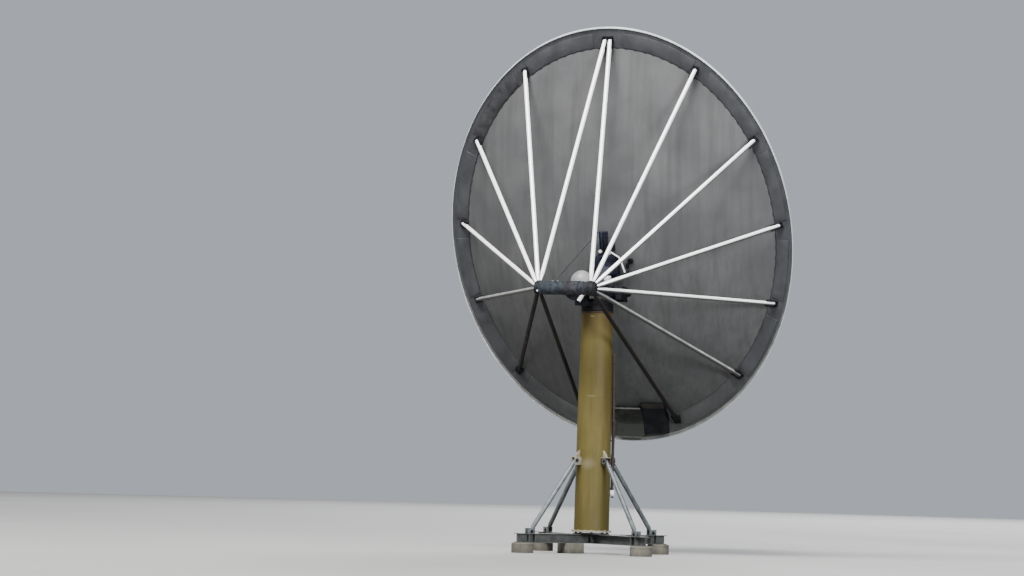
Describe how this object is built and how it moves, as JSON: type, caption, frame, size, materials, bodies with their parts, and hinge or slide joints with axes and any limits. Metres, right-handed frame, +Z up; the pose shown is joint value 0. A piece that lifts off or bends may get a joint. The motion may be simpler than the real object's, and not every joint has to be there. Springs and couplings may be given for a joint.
{
  "type": "offset dish radio antenna",
  "caption": "Offset dish antenna with an elliptical rim held by radial struts, on an azimuth and elevation mount over a braced pedestal with piers.",
  "frame": {"origin": "centre of the bounding box at ground level, with the antenna pointing at rest; the pedestal's axis stands 1.720 m behind it in +Y", "axes": "+Z up along the pedestal, the dish looks toward -Y and up, +X is its left side seen from behind"},
  "size_m": [6.1, 6.576, 8.7013],
  "materials": {
    "box_paint": "grey paint, matt",
    "concrete": "cast concrete, rough",
    "dark_casting": "dark paint, satin",
    "dish_sheet": "weathered, matt, faint streaks",
    "galvanised": "galvanised, satin",
    "ochre": "semi-matt ochre paint, streaked",
    "rim_sheet": "weathered, matt",
    "shroud_cloth": "dark, matt",
    "stained_steel": "brown stained paint",
    "steel": "machined steel, satin",
    "strut_aluminium": "satin",
    "white_cover": "white, satin"
  },
  "bodies": {
    "base": {"pier_rear_left": "concrete", "brace_rear_left": "galvanised", "pier_rear_right": "concrete", "brace_rear_right": "galvanised", "pier_front_right": "concrete", "brace_front_right": "galvanised", "pier_front_left": "concrete", "brace_front_left": "galvanised", "base_beam_main": "galvanised", "base_beam_cross_rear": "galvanised", "base_beam_cross_front": "galvanised", "centre_block": "concrete", "levelling_plate": "steel", "pedestal_base_flange": "ochre", "pedestal_tube": "ochre", "pedestal_top_flange": "stained_steel", "cable_conduit": "stained_steel"},
    "head": {"azimuth_housing": "dark_casting", "elevation_yoke": "dark_casting", "elevation_shaft": "steel", "elevation_gearbox": "dark_casting", "elevation_motor": "dark_casting", "drive_column": "dark_casting", "dome_cover": "white_cover", "azimuth_motor": "white_cover"},
    "dish": {"primary_reflector": "dish_sheet", "rim_ring": "rim_sheet", "rim_box_left": "box_paint", "rim_box_right": "dark_casting", "strut_left_1": "strut_aluminium", "strut_left_2": "strut_aluminium", "strut_left_3": "strut_aluminium", "strut_left_4": "strut_aluminium", "strut_left_5": "strut_aluminium", "strut_left_6": "strut_aluminium", "strut_left_7": "strut_aluminium", "hub_left": "steel", "elevation_arm_left": "dark_casting", "secondary_stay_left": "galvanised", "strut_right_1": "strut_aluminium", "strut_right_2": "strut_aluminium", "strut_right_3": "strut_aluminium", "strut_right_4": "strut_aluminium", "strut_right_5": "strut_aluminium", "strut_right_6": "strut_aluminium", "strut_right_7": "strut_aluminium", "hub_right": "steel", "elevation_arm_right": "dark_casting", "secondary_stay_right": "galvanised", "transverse_tube": "galvanised", "tube_sleeve": "dark_casting", "centre_support": "dark_casting", "back_rail": "dark_casting", "secondary_reflector": "dish_sheet", "shroud_right": "shroud_cloth", "shroud_bottom": "shroud_cloth", "shroud_left": "shroud_cloth", "feed_housing": "white_cover", "feed_cone": "white_cover", "feed_saddle": "steel"}
  },
  "joints": [
    {"name": "azimuth_turn", "type": "hinge", "parent": "base", "child": "head", "pos_m": [0, 1.72, 3.985], "axis": [0, 0, 1], "range_deg": [-180, 180]},
    {"name": "elevation_tilt", "type": "hinge", "parent": "head", "child": "dish", "pos_m": [0, 1.72, 4.31], "axis": [-1, 0, 0], "range_deg": [-25, 45]}
  ]
}
